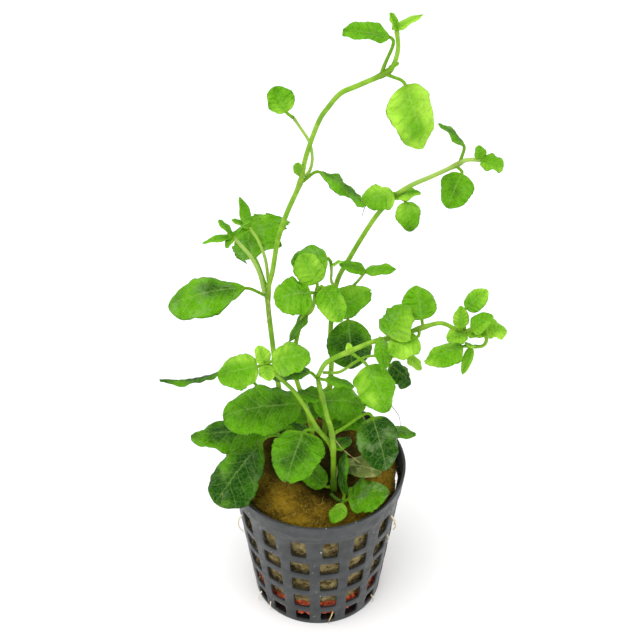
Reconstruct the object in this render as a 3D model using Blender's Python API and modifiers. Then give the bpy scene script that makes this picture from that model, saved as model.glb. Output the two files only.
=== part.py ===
"""A young Clinopodium brownei plant growing in a plug of rockwool in a slatted 5 cm net pot.

Lengths are in millimetres in the tables below and turned into metres by MM.
The origin is the middle of the pot's flat underside, +Z is up and -Y is the front.
Directions are given as (heading, rise) in degrees: heading 0 is +X, 90 is the back, rise 90 is straight up.
"""
import math

import bmesh
import bpy
from mathutils import Vector

MM = 0.001
OBJECT_NAME = "potted_clinopodium_brownei"

# Pot
POT_HEIGHT = 49.0
POT_BASE_RADIUS = 18.5
POT_RIM_RADIUS = 25.0
POT_WALL = 0.8
RIM_BAND_FOOT = 42.6
RIM_BAND_PROUD = 0.3
RIM_BAND_STEP = 0.3
POT_COLUMNS = 16
FIRST_COLUMN = -81.0
# Each row of holes: its foot, its head and its width
HOLE_ROWS = [
    (1.4, 5.8, 4.2),
    (8.2, 14.2, 4.8),
    (16.8, 22.8, 5.3),
    (25.4, 31.0, 5.7),
    (33.8, 41.2, 4.6),
]
# The floor's slots lie between the first two of these rings
FLOOR_RINGS = (15.5, 10.5, 5.5)
FLOOR_SLOT_SPREAD = 0.18

# Filling
FILL_GAP = 0.6
CLAY_FOOT = 1.5
CLAY_TOP = 8.8
CLAY_SIDES = 20
WOOL_FOOT = 9.2
WOOL_SHOULDER = 43.5
WOOL_SHOULDER_DROP = 1.0
WOOL_EDGE_TOP = 46.5
WOOL_RINGS = (5.0, 10.0, 15.0, 19.5)
WOOL_SIDES = 24
# Mounds and hollows of the wool's top: middle x, y, height, reach
WOOL_SHAPES = [
    (-8.0, -12.0, 4.5, 12.0),
    (15.0, -2.0, 3.5, 9.0),
    (-12.0, 8.0, 2.5, 9.0),
    (4.0, -8.0, -6.0, 6.0),
    (2.0, 4.0, 1.0, 10.0),
]

# Plant
TOUCH_GAP = 0.4
LEAF_THICKNESS = 0.4
STALK_WIDTH = 0.9
# An ovate blade: shares of its length, and how far its widest place and its blunt ends are from an even oval
BLADE_STEPS = (0.07, 0.26, 0.5, 0.76, 0.93, 1.0)
TIP_BLADE_STEPS = (0.0, 0.3, 0.7, 1.0)
STALK_STEPS = (0.0, 0.5, 0.9)
TIP_LEAF_ARCH = 0.3
TIP_LEAF_FOLD = 5
CAP_WELD = 0.01

# Blade outlines. First number: below 1 the widest place is nearer the stalk, above 1 nearer the tip.
# Second number: the lower it is, the blunter both ends are.
OVATE = (0.75, 0.55)
BLADE_FORMS = {
    "leaf_a_low_back": (0.9, 0.7), "leaf_a_low_left": (1.3, 0.55),
    "leaf_a_mid_right": (0.8, 0.7), "leaf_a_mid_round": (0.85, 0.48), "leaf_a_top_left": (0.95, 0.5),
    "leaf_bl": (1.05, 0.5), "leaf_c_left": (0.8, 0.48), "leaf_d_low_right": (0.8, 0.5),
    "leaf_d_low_side": (0.65, 0.65), "leaf_d_mid_left": (1.0, 0.5),
    "leaf_e_big": (0.95, 0.42), "leaf_e_front": (0.65, 0.5),
    "leaf_f_left": (0.8, 0.46), "leaf_f_right": (0.85, 0.48), "leaf_g_near": (0.65, 0.5),
    "leaf_h_low": (0.75, 0.7), "leaf_h_right": (0.9, 0.46), "leaf_m_upper": (0.9, 0.46),
    "leaf_r_bright": (0.8, 0.65), "leaf_r_right": (0.65, 0.5), "leaf_w_spoon": (1.5, 0.55),
}

# Stems: a half thickness at each end, then the points that each passes through
STEMS = {
    "stem_a": (0.8, 0.58, [
        (-5.5, 3, 50), (-8.5, 4, 59), (-11, 5, 76), (-12.5, 6, 92), (-13.5, 7, 107.5), (-12, 7, 117),
        (-10.5, 7, 127.5), (-8, 7, 137), (-4.5, 6, 148), (-2.8, 5, 158), (0.3, 3, 170.2), (2.8, 2, 175.7),
        (5.8, 1, 180.7), (9.8, 0, 183.7), (16.5, -2, 189), (18.5, -2, 191.5), (19.5, -2, 196.5),
        (19, -2, 202)]),
    "shoot_a1_left": (0.56, 0.46, [
        (-14.4, 6.2, 109.6), (-15.5, 4, 118.5), (-17.5, 2.5, 125.5), (-20, 1, 131), (-22.2, -0.5, 135.5)]),
    "shoot_a1_right": (0.5, 0.4, [
        (-13.3, 8.8, 111.5), (-14, 10.2, 118), (-16, 12, 123.5), (-18.3, 13, 127)]),
    "shoot_a2": (0.5, 0.36, [
        (-3.2, 7.2, 149), (-1.8, 8, 151), (-1.3, 8, 155), (-2.1, 8, 160), (-4.6, 8, 165), (-6, 7.5, 168)]),
    "stem_b": (0.84, 0.5, [
        (1.5, 6, 50), (3, 9, 65), (4, 12, 79.5), (3.5, 13.5, 86), (5, 16, 103), (9, 16, 114),
        (15.5, 16, 128), (20.5, 15, 136), (24.5, 14, 140.5), (30, 13, 144.5), (36, 12, 149),
        (38.5, 11, 151.5), (42.5, 10, 152.5)]),
    "shoot_t": (0.45, 0.38, [
        (5.9, 15.6, 97.4), (7.4, 15.8, 100), (9.4, 15.6, 103), (11.4, 14.9, 106.5), (13.2, 14, 110.5)]),
    "shoot_s": (0.45, 0.38, [(4.3, 15, 104.4), (3.7, 14.2, 107), (3.8, 13, 111), (3.6, 12.5, 115)]),
    "stem_c": (0.75, 0.55, [
        (-1.5, 2, 50), (-2, 0, 66), (-4.5, -1, 78), (-6.5, -1, 88), (-6, -1, 96.5), (-4, -1, 107),
        (-1.5, -2, 111), (-0.5, -2.5, 117)]),
    "stem_d": (0.9, 0.7, [(4.5, -9, 47), (4.5, -9.5, 59), (4, -10, 71.5), (2.5, -10, 79), (0, -11, 94)]),
    "stem_g": (0.65, 0.48, [
        (0.2, -11, 95), (2.5, -12, 101), (8.5, -12, 105), (14.5, -11, 107.5), (18, -10, 107.5),
        (23, -9, 108.5), (28, -8, 110), (33, -8, 111.5), (38, -9, 109.5), (43.5, -10, 110.5),
        (44.8, -10.8, 108.4), (43.9, -11.3, 106.4), (41.2, -11, 105.8)]),
    "stem_e": (0.7, 0.5, [
        (4.2, -5.4, 50), (4.2, -6.4, 60), (2.9, -8.4, 67), (0, -12, 75.5), (-2.5, -12, 82),
        (-6, -12, 89.5), (-10, -12, 95), (-14, -12, 100.5)]),
    "shoot_k": (0.4, 0.32, [
        (1.6, -9.8, 95), (6, -8, 93.5), (10.5, -6.5, 96), (14, -5.5, 97), (20, -6, 97.5), (25, -6, 97.5)]),
    "shoot_r": (0.5, 0.4, [(3.8, -11.2, 48.4), (5.4, -13, 48.2), (7.2, -14.2, 48.4)]),
}

# Leaves: stem, place on it, stalk and blade (each heading, rise, length), width, roll, arch, fold
LEAVES = {
    "leaf_a_low_left": ("stem_a", (-13.5, 7, 107.5), (192, 34, 6.2), (188, -11, 21.5), 13, 15, 2.5, -15),
    "leaf_a_low_back": ("stem_a", (-13.5, 7, 109), (129, 56, 8.6), (90, 22, 13.4), 22, 47, 3, -20),
    "leaf_a_mid_right": ("stem_a", (-4.4, 5.9, 147.6), (356, 36, 5.3), (336, -30, 14.5), 10.5, 28, 1, 0),
    "leaf_a_mid_round": ("shoot_a2", (-6, 7.5, 168), (155, 30, 1.4), (128, 44, 7.2), 7.6, 10, -0.5, 15),
    "leaf_a_top_left": ("stem_a", (15.8, -1.8, 188.5), (54, 73, 8.9), (177, 7, 11.4), 8.4, 0, 0.5, 10),
    "leaf_a_top_right": ("stem_a", (16.5, -2, 189), (326, -10, 4.8), (302, -60, 16.5), 12.8, 0, 1, -10),
    "leaf_b_left": ("stem_b", (20.5, 15, 136), (250, 55, 1.6), (203, 2, 9), 8.4, 15, 0.5, -10),
    "leaf_b_right": ("stem_b", (20.5, 15, 136), (320, 0, 2.4), (288, -50, 8), 7, 0, 0.5, 0),
    "leaf_b_up": ("stem_b", (37, 11.6, 149.8), (72, 62, 3.7), (161, 36, 8.6), 6, -20, 0.5, 0),
    "leaf_b_down": ("stem_b", (36, 12, 149), (305, -20, 1.6), (236, -46, 9.8), 9.5, 0, 0.5, -5),
    "leaf_bl": ("stem_b", (4.1, 14.6, 93), (322, 5, 4.4), (278, -58, 14), 13, 0, 2, -15),
    "leaf_c_left": ("stem_c", (-0.5, -2.5, 117), (236, 44, 2), (196, 0, 10), 11.6, 20, 1, -10),
    "leaf_c_up": ("stem_c", (-0.5, -2.5, 117.5), (70, 66, 1.8), (126, 38, 9), 9.2, 0, 1, -10),
    "leaf_c_down": ("stem_c", (-0.5, -2.5, 117.5), (325, 56, 3.2), (316, -50, 10.5), 8.4, -10, 1, -10),
    "leaf_c_back": ("shoot_s", (3.6, 12.5, 114.7), (215, 60, 1.4), (190, 0, 10), 9.6, 20, 1, -10),
    "leaf_d_low_right": ("stem_d", (4, -10, 71.5), (20, 12, 10.8), (296, -54, 15.8), 12.2, -6, 1.5, -16),
    "leaf_d_low_side": ("stem_b", (2.2, 7.2, 56.6), (350, 0, 15.5), (348, 6, 9.5), 6, 0, 0.8, -10),
    "leaf_d_mid_left": ("stem_d", (0, -11, 93.2), (150, 24, 1.4), (161, -25, 11.8), 6.8, 0, 0.5, 0),
    "leaf_d_mid_small": ("stem_d", (0.2, -11, 92.8), (325, 20, 1.6), (357, -16, 8), 5.8, 16, 0.5, 0),
    "leaf_d_top_hang": ("stem_g", (8.5, -12, 105), (330, -26, 5), (303, -42, 13.5), 11.5, 0, 1, -10),
    "leaf_g_up": ("stem_g", (28, -8, 110), (100, 40, 1), (103, 38, 9.4), 9.8, 0, 1, -10),
    "leaf_g_near": ("stem_g", (18, -10, 107.5), (300, 60, 1.2), (46, 44, 9.8), 12.4, 12, 1, -10),
    "leaf_g_far": ("stem_g", (27, -8.2, 109.7), (256, 0, 2.4), (209, -14, 8.8), 9.2, 10, 1, -10),
    "leaf_g_hang": ("stem_g", (17, -10.3, 107.3), (262, 50, 1.6), (286, -58, 8.8), 5, 20, 0.5, 0),
    "leaf_h_up": ("stem_g", (38.8, -9.2, 109.8), (84, 79, 6.2), (20, 38, 7.6), 6, -20, 0.5, -10),
    "leaf_h_left": ("stem_g", (37.4, -8.9, 109.6), (288, 52, 2.4), (100, 80, 7), 4.4, 0, 0.5, 0),
    "leaf_h_face": ("stem_g", (41, -9.6, 110.1), (262, 46, 3.6), (12, 38, 7), 6, -12, 1, 0),
    "leaf_h_right": ("stem_g", (43.7, -10.1, 110.4), (310, 50, 0.6), (6, -8, 6), 7.4, 0, 0.5, 0),
    "leaf_h_low": ("stem_g", (41.2, -11, 105.8), (194, 14, 1.8), (194, -16, 11), 9, 0, 0.5, -10),
    "leaf_e_big": ("stem_c", (-4.4, -1, 77.8), (268, -12, 2), (188, -5, 22), 16.4, 12, 2, -10),
    "leaf_e_front": ("stem_e", (0, -12, 75.5), (210, 14, 3.4), (252, -18, 15.5), 15, 0, 1.5, -12),
    "leaf_f_left": ("stem_e", (-14, -12, 100.5), (200, -10, 1), (186, -14, 11.2), 10.5, 20, 1, -10),
    "leaf_f_right": ("stem_e", (-14, -12, 100.5), (350, 30, 1), (2, 12, 10.5), 10, -20, 1, -10),
    "leaf_w_edge": ("stem_a", (-9.5, 4.5, 66), (168, 35, 19.2), (184, -8, 18.5), 8, -42, -1, -15),
    "leaf_w_left": ("stem_a", (-7.5, 4, 56), (188, 30, 6.8), (187, 2, 21.8), 12.5, 4, 1, -15),
    "leaf_w_spoon": ("stem_c", (-1.8, 1, 59), (204, 20, 15), (225, -32, 22), 16, 0, 1, -10),
    "leaf_r_strip": ("stem_d", (4.5, -9, 48.3), (190, 20, 1.2), (148, 29, 11), 7.2, 20, 0.5, 0),
    "leaf_r_upright": ("shoot_r", (7.4, -14.2, 48.4), (60, 80, 2), (86, 72, 13.8), 6.5, 55, 0.5, 10),
    "leaf_r_right": ("shoot_r", (7.2, -14.2, 48.4), (350, 42, 1), (6, 10, 11.8), 13.6, 4, 1, -4),
    "leaf_r_bright": ("shoot_r", (7.2, -14.2, 48.4), (262, 30, 1), (246, -10, 7), 5.2, 0, 0.5, -10),
    "leaf_m_upper": ("stem_b", (3.3, 10, 69), (240, 15, 8.6), (355, 0, 15), 13.5, -4, 1, -10),
    "leaf_m_lower": ("stem_b", (2.4, 7.4, 59), (284, 42, 7.4), (347, 8, 9.6), 8.8, -8, 1, -10),
    "leaf_n_dark": ("shoot_k", (20, -6, 97.5), (245, -60, 1.8), (336, -38, 8), 8.4, 0, 1, -10),
    "leaf_withered": ("stem_d", (4.5, -9, 51), (50, 50, 4.4), (352, -8, 11.5), 8, 0, 1, 0),
}

# Small leaves grown together with their shoot tip: place, blade (heading, rise, length), width, roll
TIP_LEAVES = {
    "stem_a": [
        ((19, -2, 202), (18, 24, 7.2), 3.4, 0),
        ((19, -2, 202), (150, 66, 4.6), 3.4, 0),
        ((17.2, -2, 189.5), (10, 44, 3.6), 2.2, 0),
        ((-4.6, 5.6, 150.8), (258, 72, 6), 3.4, 0),
    ],
    "shoot_a1_left": [
        ((-22, -0.3, 135.2), (188, -10, 8.2), 2.8, 0),
        ((-22, -0.3, 135.2), (168, 54, 6.2), 3.8, 0),
        ((-22, -0.3, 135.2), (20, 40, 6.6), 3.4, 30),
        ((-22, -0.3, 135.2), (230, -36, 3.6), 2.4, 0),
    ],
    "shoot_a1_right": [
        ((-18.2, 13, 126.8), (132, 66, 9.2), 3.6, 0),
        ((-18.2, 13, 126.8), (180, 32, 5.4), 3.0, 0),
        ((-18.2, 13, 126.8), (205, -20, 6.4), 3.2, 0),
    ],
    "stem_b": [
        ((42.3, 10, 152.5), (338, -6, 6.2), 7.2, 0),
        ((42.3, 10, 152.5), (110, 56, 3.8), 3.6, 0),
        ((20.7, 14.9, 136.2), (346, 20, 7.2), 5.5, 0),
        ((4.4, 15, 95.5), (337, 43, 15), 9, -56),
    ],
    "shoot_t": [
        ((13, 14, 110.5), (190, 26, 8.0), 4.2, 20),
        ((13, 14, 110.5), (352, 10, 8.6), 4.6, 0),
    ],
    "shoot_s": [((3.8, 12.8, 113.5), (330, 40, 4.4), 3.0, 0)],
    "stem_c": [
        ((-2.6, -1.4, 109), (196, -60, 10.5), 4.2, 0),
        ((-2.2, -0.1, 66), (116, 8, 10.5), 9.6, 0),
        ((-1.8, 0.8, 60), (190, 42, 9), 8, 0),
    ],
    "stem_d": [
        ((4.6, -9.5, 65), (50, -10, 7.5), 4.6, 0),
        ((1.3, -10.4, 86), (150, -10, 8), 7, 0),
    ],
    "stem_e": [
        ((-13.8, -12, 100.3), (124, 48, 5.4), 4.8, 0),
        ((-13.8, -12, 100.3), (285, -30, 4.8), 5.0, 0),
    ],
    "stem_g": [
        ((41.4, -11, 106), (240, 40, 4.6), 3.6, 0),
        ((40.9, -11, 105.6), (232, -64, 8.2), 2.8, 30),
        ((39.6, -9.8, 109.6), (198, -4, 5.8), 6, 10),
        ((39.4, -9.6, 109.8), (358, -4, 6.4), 5, 0),
        ((8.5, -12, 105), (110, 60, 2.4), 2.0, 0),
    ],
    "shoot_k": [((24.5, -6, 97.4), (330, -36, 5.2), 4.2, 0)],
}


def direction(heading, rise):
    """The unit vector of a heading and a rise in degrees."""
    h, r = math.radians(heading), math.radians(rise)
    return Vector((math.cos(r) * math.cos(h), math.cos(r) * math.sin(h), math.sin(r)))


def clear_scene():
    for old in list(bpy.data.objects):
        bpy.data.objects.remove(old, do_unlink=True)


def new_collection(name):
    collection = bpy.data.collections.new(name)
    bpy.context.scene.collection.children.link(collection)
    return collection


def new_material(name, colour, roughness):
    material = bpy.data.materials.new(name)
    material.use_nodes = True
    shader = material.node_tree.nodes["Principled BSDF"]
    shader.inputs["Base Color"].default_value = (*colour, 1.0)
    shader.inputs["Roughness"].default_value = roughness
    shader.inputs["Metallic"].default_value = 0.0
    return material


def new_object(name, data, collection, material):
    item = bpy.data.objects.new(name, data)
    collection.objects.link(item)
    data.materials.append(material)
    return item


def mesh_object(name, mesh, collection, material):
    data = bpy.data.meshes.new(name)
    mesh.to_mesh(data)
    mesh.free()
    return new_object(name, data, collection, material)


def add_thickness(item, thickness, offset=0.0):
    shell = item.modifiers.new("thickness", "SOLIDIFY")
    shell.thickness = thickness * MM
    shell.offset = offset


def pot_radius(height):
    """The outside of the pot's wall at a height."""
    radius = POT_BASE_RADIUS + (POT_RIM_RADIUS - POT_BASE_RADIUS) * height / POT_HEIGHT
    return radius + (RIM_BAND_PROUD if height > RIM_BAND_FOOT else 0.0)


def pot_levels():
    """The wall's height and the width of its holes at each ring of edges, from the foot up."""
    levels = [(0.0, HOLE_ROWS[0][2])]
    for foot, head, width in HOLE_ROWS:
        levels += [(foot, width), (head, width)]
    for height in (RIM_BAND_FOOT, RIM_BAND_FOOT + RIM_BAND_STEP, POT_HEIGHT):
        levels.append((height, HOLE_ROWS[-1][2]))
    return levels


def pot_ring(mesh, radius, height, width):
    """Two corners for each column of holes, width apart."""
    ring = []
    for column in range(POT_COLUMNS):
        middle = math.radians(FIRST_COLUMN + column * 360.0 / POT_COLUMNS)
        half = width / 2.0 / radius
        ring += [round_corner(mesh, radius, angle, height) for angle in (middle - half, middle + half)]
    return ring


def round_corner(mesh, radius, angle, height):
    return mesh.verts.new(Vector((radius * math.cos(angle), radius * math.sin(angle), height)) * MM)


def loft(mesh, lower, upper, step=1):
    """Faces between two rings, leaving out all but every step-th one from the second on."""
    for corner in range(step - 1, len(lower), step):
        following = (corner + 1) % len(lower)
        mesh.faces.new((lower[corner], lower[following], upper[following], upper[corner]))


def make_pot(collection):
    """A tapered wall and a slotted floor as one open surface, given the wall's thickness inward."""
    mesh = bmesh.new()
    rings = [pot_ring(mesh, radius, 0.0, radius * FLOOR_SLOT_SPREAD) for radius in reversed(FLOOR_RINGS)]
    rings += [pot_ring(mesh, pot_radius(height), height, width) for height, width in pot_levels()]
    slotted = [False, True, False, False] + [True, False] * len(HOLE_ROWS) + [False, False]
    mesh.faces.new(list(reversed(rings[0])))
    for lower, upper, open_row in zip(rings, rings[1:], slotted):
        loft(mesh, lower, upper, 2 if open_row else 1)
    pot = mesh_object("pot", mesh, collection, new_material("pot_plastic", (0.035, 0.04, 0.048), 0.42))
    add_thickness(pot, POT_WALL, -1.0)


def fill_radius(height):
    return pot_radius(min(height, RIM_BAND_FOOT)) - POT_WALL - FILL_GAP


def wool_top(x, y):
    """The height of the wool's top: a level bed with mounds and hollows on it."""
    top = WOOL_EDGE_TOP
    for middle_x, middle_y, high, reach in WOOL_SHAPES:
        top += high * math.exp(-((x - middle_x) ** 2 + (y - middle_y) ** 2) / reach**2)
    return top


def make_clay(collection):
    mesh = bmesh.new()
    bmesh.ops.create_cone(
        mesh, cap_ends=True, segments=CLAY_SIDES, radius1=fill_radius(CLAY_FOOT) * MM,
        radius2=fill_radius(CLAY_TOP) * MM, depth=(CLAY_TOP - CLAY_FOOT) * MM)
    bmesh.ops.translate(mesh, verts=mesh.verts, vec=(0, 0, (CLAY_TOP + CLAY_FOOT) / 2 * MM))
    mesh_object("clay_layer", mesh, collection, new_material("clay", (0.6, 0.16, 0.05), 0.9))


def wool_ring(mesh, radius, height=None, drop=0.0):
    """A ring of the plug at a height, or lying drop below its uneven top."""
    ring = []
    for side in range(WOOL_SIDES):
        angle = 2 * math.pi * side / WOOL_SIDES
        top = wool_top(radius * math.cos(angle), radius * math.sin(angle)) - drop
        ring.append(round_corner(mesh, radius, angle, height or top))
    return ring


def make_wool(collection):
    """The plug of rockwool: a tapered drum whose top is raised to wool_top."""
    mesh = bmesh.new()
    heights = (WOOL_FOOT, (WOOL_FOOT + WOOL_SHOULDER) / 2)
    rings = [wool_ring(mesh, fill_radius(height), height) for height in heights]
    rings.append(wool_ring(mesh, fill_radius(WOOL_SHOULDER), None, WOOL_SHOULDER_DROP))
    rings += [wool_ring(mesh, radius) for radius in reversed(WOOL_RINGS)]
    mesh.faces.new(list(reversed(rings[0])))
    for lower, upper in zip(rings, rings[1:]):
        loft(mesh, lower, upper)
    middle = mesh.verts.new(Vector((0, 0, wool_top(0, 0))) * MM)
    for side in range(WOOL_SIDES):
        mesh.faces.new((rings[-1][side], rings[-1][(side + 1) % WOOL_SIDES], middle))
    mesh_object("rockwool", mesh, collection, new_material("rockwool", (0.36, 0.24, 0.07), 0.95))


def stem_radius(name, place):
    """A stem's half thickness at the point of it nearest to a place."""
    first, last, points = STEMS[name]
    nearest = min(range(len(points)), key=lambda i: (Vector(points[i]) - Vector(place)).length)
    return first + (last - first) * nearest / (len(points) - 1)


def blade_half_width(t, width, form):
    """Half the width of a blade at a share of its length."""
    return max(width / 2 * math.sin(math.pi * t ** form[0]) ** form[1], STALK_WIDTH / 2)


def leaf_frame(heading, rise, roll):
    """Along, side and upper-face directions of a blade."""
    along = direction(heading, rise)
    side = Vector((math.sin(math.radians(heading)), -math.cos(math.radians(heading)), 0.0))
    upper = side.cross(along)
    across, up = math.cos(math.radians(roll)), math.sin(math.radians(roll))
    return along, side * across + upper * up, upper * across - side * up


def stalk_row(points, side, t):
    """Left edge, middle and right edge of a leaf stalk, which runs along a four-point curve."""
    s = 1 - t
    shares = (s**3, 3 * s * s * t, 3 * s * t * t, t**3)
    middle = sum((point * share for point, share in zip(points, shares)), Vector())
    half = side * STALK_WIDTH / 2
    return [middle - half, middle, middle + half]


def leaf_rows(root, stalk, blade, width, roll, arch, fold, form=OVATE):
    """Rows of three points, left edge, midrib and right edge, from the stalk's foot to the blade's tip."""
    heading, rise, length = blade
    along, side, upper = leaf_frame(heading, rise, roll)
    rows = []
    start = root
    if stalk:
        leaf_stalk = direction(stalk[0], stalk[1]) * stalk[2]
        start = root + leaf_stalk
        leaving = (along + upper * (4 * arch / length)).normalized()
        bend = [root, root + leaf_stalk * 0.5, start - leaving * stalk[2] * 0.3, start]
        rows = [stalk_row(bend, side, t) for t in STALK_STEPS]
    lift = math.tan(math.radians(fold))
    for t in BLADE_STEPS if stalk else TIP_BLADE_STEPS:
        middle = start + along * length * t + upper * arch * 4 * t * (1 - t)
        half = blade_half_width(t, width, form)
        raised = upper * half * lift
        rows.append([middle - side * half + raised, middle, middle + side * half + raised])
    return rows


def leaf_object(name, rows, collection, material):
    """A grid laid on the rows and given the leaf's thickness."""
    mesh = bmesh.new()
    last = len(rows) - 1
    bmesh.ops.create_grid(mesh, x_segments=2, y_segments=last, size=1.0)
    for corner in mesh.verts:
        row, column = round((corner.co.y + 1) / 2 * last), round(corner.co.x + 1)
        corner.co = rows[row][column] * MM
    leaf = mesh_object(name, mesh, collection, material)
    add_thickness(leaf, LEAF_THICKNESS)
    return leaf


def make_leaves(collection, material):
    for name, (stem, place, stalk, blade, width, roll, arch, fold) in LEAVES.items():
        root = Vector(place) + direction(stalk[0], stalk[1]) * (stem_radius(stem, place) + TOUCH_GAP)
        form = BLADE_FORMS.get(name, OVATE)
        leaf_object(name, leaf_rows(root, stalk, blade, width, roll, arch, fold, form), collection, material)


def stem_curve(name, collection, material):
    """A square stem, as mints have: a curve with a four-sided bevel."""
    first, last, points = STEMS[name]
    data = bpy.data.curves.new(name, "CURVE")
    data.dimensions = "3D"
    data.bevel_depth = MM
    data.bevel_resolution = 0
    data.use_fill_caps = True
    spline = data.splines.new("POLY")
    spline.points.add(len(points) - 1)
    for index, point in enumerate(points):
        spline.points[index].co = (*(Vector(point) * MM), 1.0)
        spline.points[index].radius = first + (last - first) * index / (len(points) - 1)
    return new_object(name, data, collection, material)


def curve_to_mesh(curve):
    """The curve's evaluated mesh with its caps welded, in place of the curve."""
    graph = bpy.context.evaluated_depsgraph_get()
    data = bpy.data.meshes.new_from_object(curve.evaluated_get(graph))
    mesh = bmesh.new()
    mesh.from_mesh(data)
    bmesh.ops.remove_doubles(mesh, verts=mesh.verts, dist=CAP_WELD * MM)
    mesh.to_mesh(data)
    mesh.free()
    name, collection = curve.name, curve.users_collection[0]
    bpy.data.objects.remove(curve, do_unlink=True)
    item = bpy.data.objects.new(name, data)
    collection.objects.link(item)
    return item


def join_tip_leaves(stem, leaves, joined, material):
    for number, (place, blade, width, roll) in enumerate(leaves, 1):
        rows = leaf_rows(Vector(place), None, blade, width, roll, TIP_LEAF_ARCH, TIP_LEAF_FOLD)
        leaf = leaf_object(f"{stem.name}_tip_leaf_{number}", rows, joined, material)
        leaf.hide_render = True
        leaf.display_type = "WIRE"
        union = stem.modifiers.new(f"leaf {number}", "BOOLEAN")
        union.operation = "UNION"
        union.solver = "EXACT"
        union.object = leaf


def make_stems(collection, joined, stem_material, leaf_material):
    for name in STEMS:
        stem = curve_to_mesh(stem_curve(name, collection, stem_material))
        join_tip_leaves(stem, TIP_LEAVES.get(name, []), joined, leaf_material)


def main():
    clear_scene()
    collection = new_collection(OBJECT_NAME)
    joined = new_collection("joined_tip_leaves")
    make_pot(collection)
    make_clay(collection)
    make_wool(collection)
    leaf_material = new_material("leaf_green", (0.12, 0.36, 0.02), 0.45)
    stem_material = new_material("stem_green", (0.3, 0.48, 0.05), 0.5)
    make_stems(collection, joined, stem_material, leaf_material)
    make_leaves(collection, leaf_material)


main()
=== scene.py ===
"""The looks of a young Clinopodium brownei plant in a plug of rockwool in a net pot.

Lengths are in millimetres in the tables and functions, and turned into metres by MM where a mesh
is made. Directions are given as (heading, rise) in degrees: heading 0 is +X, 90 is the back, and
rise 90 is straight up.
"""

import math
import random

import bmesh
import bpy
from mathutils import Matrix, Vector, noise


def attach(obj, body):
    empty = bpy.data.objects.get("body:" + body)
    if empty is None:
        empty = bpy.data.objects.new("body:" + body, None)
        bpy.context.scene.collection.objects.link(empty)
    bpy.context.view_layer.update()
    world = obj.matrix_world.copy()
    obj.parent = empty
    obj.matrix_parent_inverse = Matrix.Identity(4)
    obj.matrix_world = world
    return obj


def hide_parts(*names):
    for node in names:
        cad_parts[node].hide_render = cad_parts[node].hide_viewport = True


MM = 0.001

# Camera and studio
CAMERA_LENS = 125.3
CAMERA_SENSOR = 36.0
CAMERA_PLACE = (0.68, -439.4, 513.97)
CAMERA_DOWN = 42.93
FLOOR_SIZE = 6.0

# Pot, as in the source
POT_HEIGHT = 49.0
POT_BASE_RADIUS = 18.5
POT_RIM_RADIUS = 25.0
POT_WALL = 0.8
RIM_BAND_FOOT = 42.6
RIM_BAND_PROUD = 0.3
RIM_LEVELS = (42.6, 42.9, 45.0, 47.5, 48.7)
POT_COLUMNS = 16
FIRST_COLUMN = -81.0
# Rows of holes: foot, head, width
HOLE_ROWS = [
    (1.4, 5.8, 4.2), (8.2, 14.2, 4.8), (16.8, 22.8, 5.3), (25.4, 31.0, 5.7), (33.8, 41.2, 4.6),
]
FLOOR_RINGS = (15.5, 10.5, 5.5)
FLOOR_SLOT_SPREAD = 0.18
HOLE_CELLS = 4
BAR_CELLS = 3
CORNER_ROUNDING = 0.25
EDGE_ROUNDING = 0.18

# Filling
FILL_GAP = 0.6
CLAY_FOOT = 1.5
CLAY_TOP = 8.8
CLAY_GRAINS = 420
GRAIN_SIZES = (0.55, 1.05)
GRAIN_ROWS = 7
GRAIN_SIDES = 9
WOOL_FOOT = 9.2
WOOL_EDGE_TOP = 46.5
WOOL_EDGE_DROP = 2.2
# Mounds and hollows of the wool's top: middle x and y, height, reach
WOOL_SHAPES = [
    (-8.0, -12.0, 4.5, 12.0),
    (15.0, -2.0, 3.5, 9.0),
    (-12.0, 8.0, 2.5, 9.0),
    (4.0, -8.0, -6.0, 6.0),
    (2.0, 4.0, 1.0, 10.0),
]
WOOL_SIDES = 120
WOOL_LEVELS = 26
WOOL_TOP_RINGS = 34
# Loose fibres: how many, and the range of their lengths and half thicknesses
TOP_FIBRES = 4200
TOP_FIBRE_LENGTHS = (0.8, 2.6)
TOP_FIBRE_RADII = (0.035, 0.075)
SIDE_FIBRES = 2600
SIDE_FIBRE_LENGTHS = (1.0, 3.0)
SIDE_FIBRE_RADII = (0.035, 0.08)
FIBRE_PIECES = 5

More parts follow.
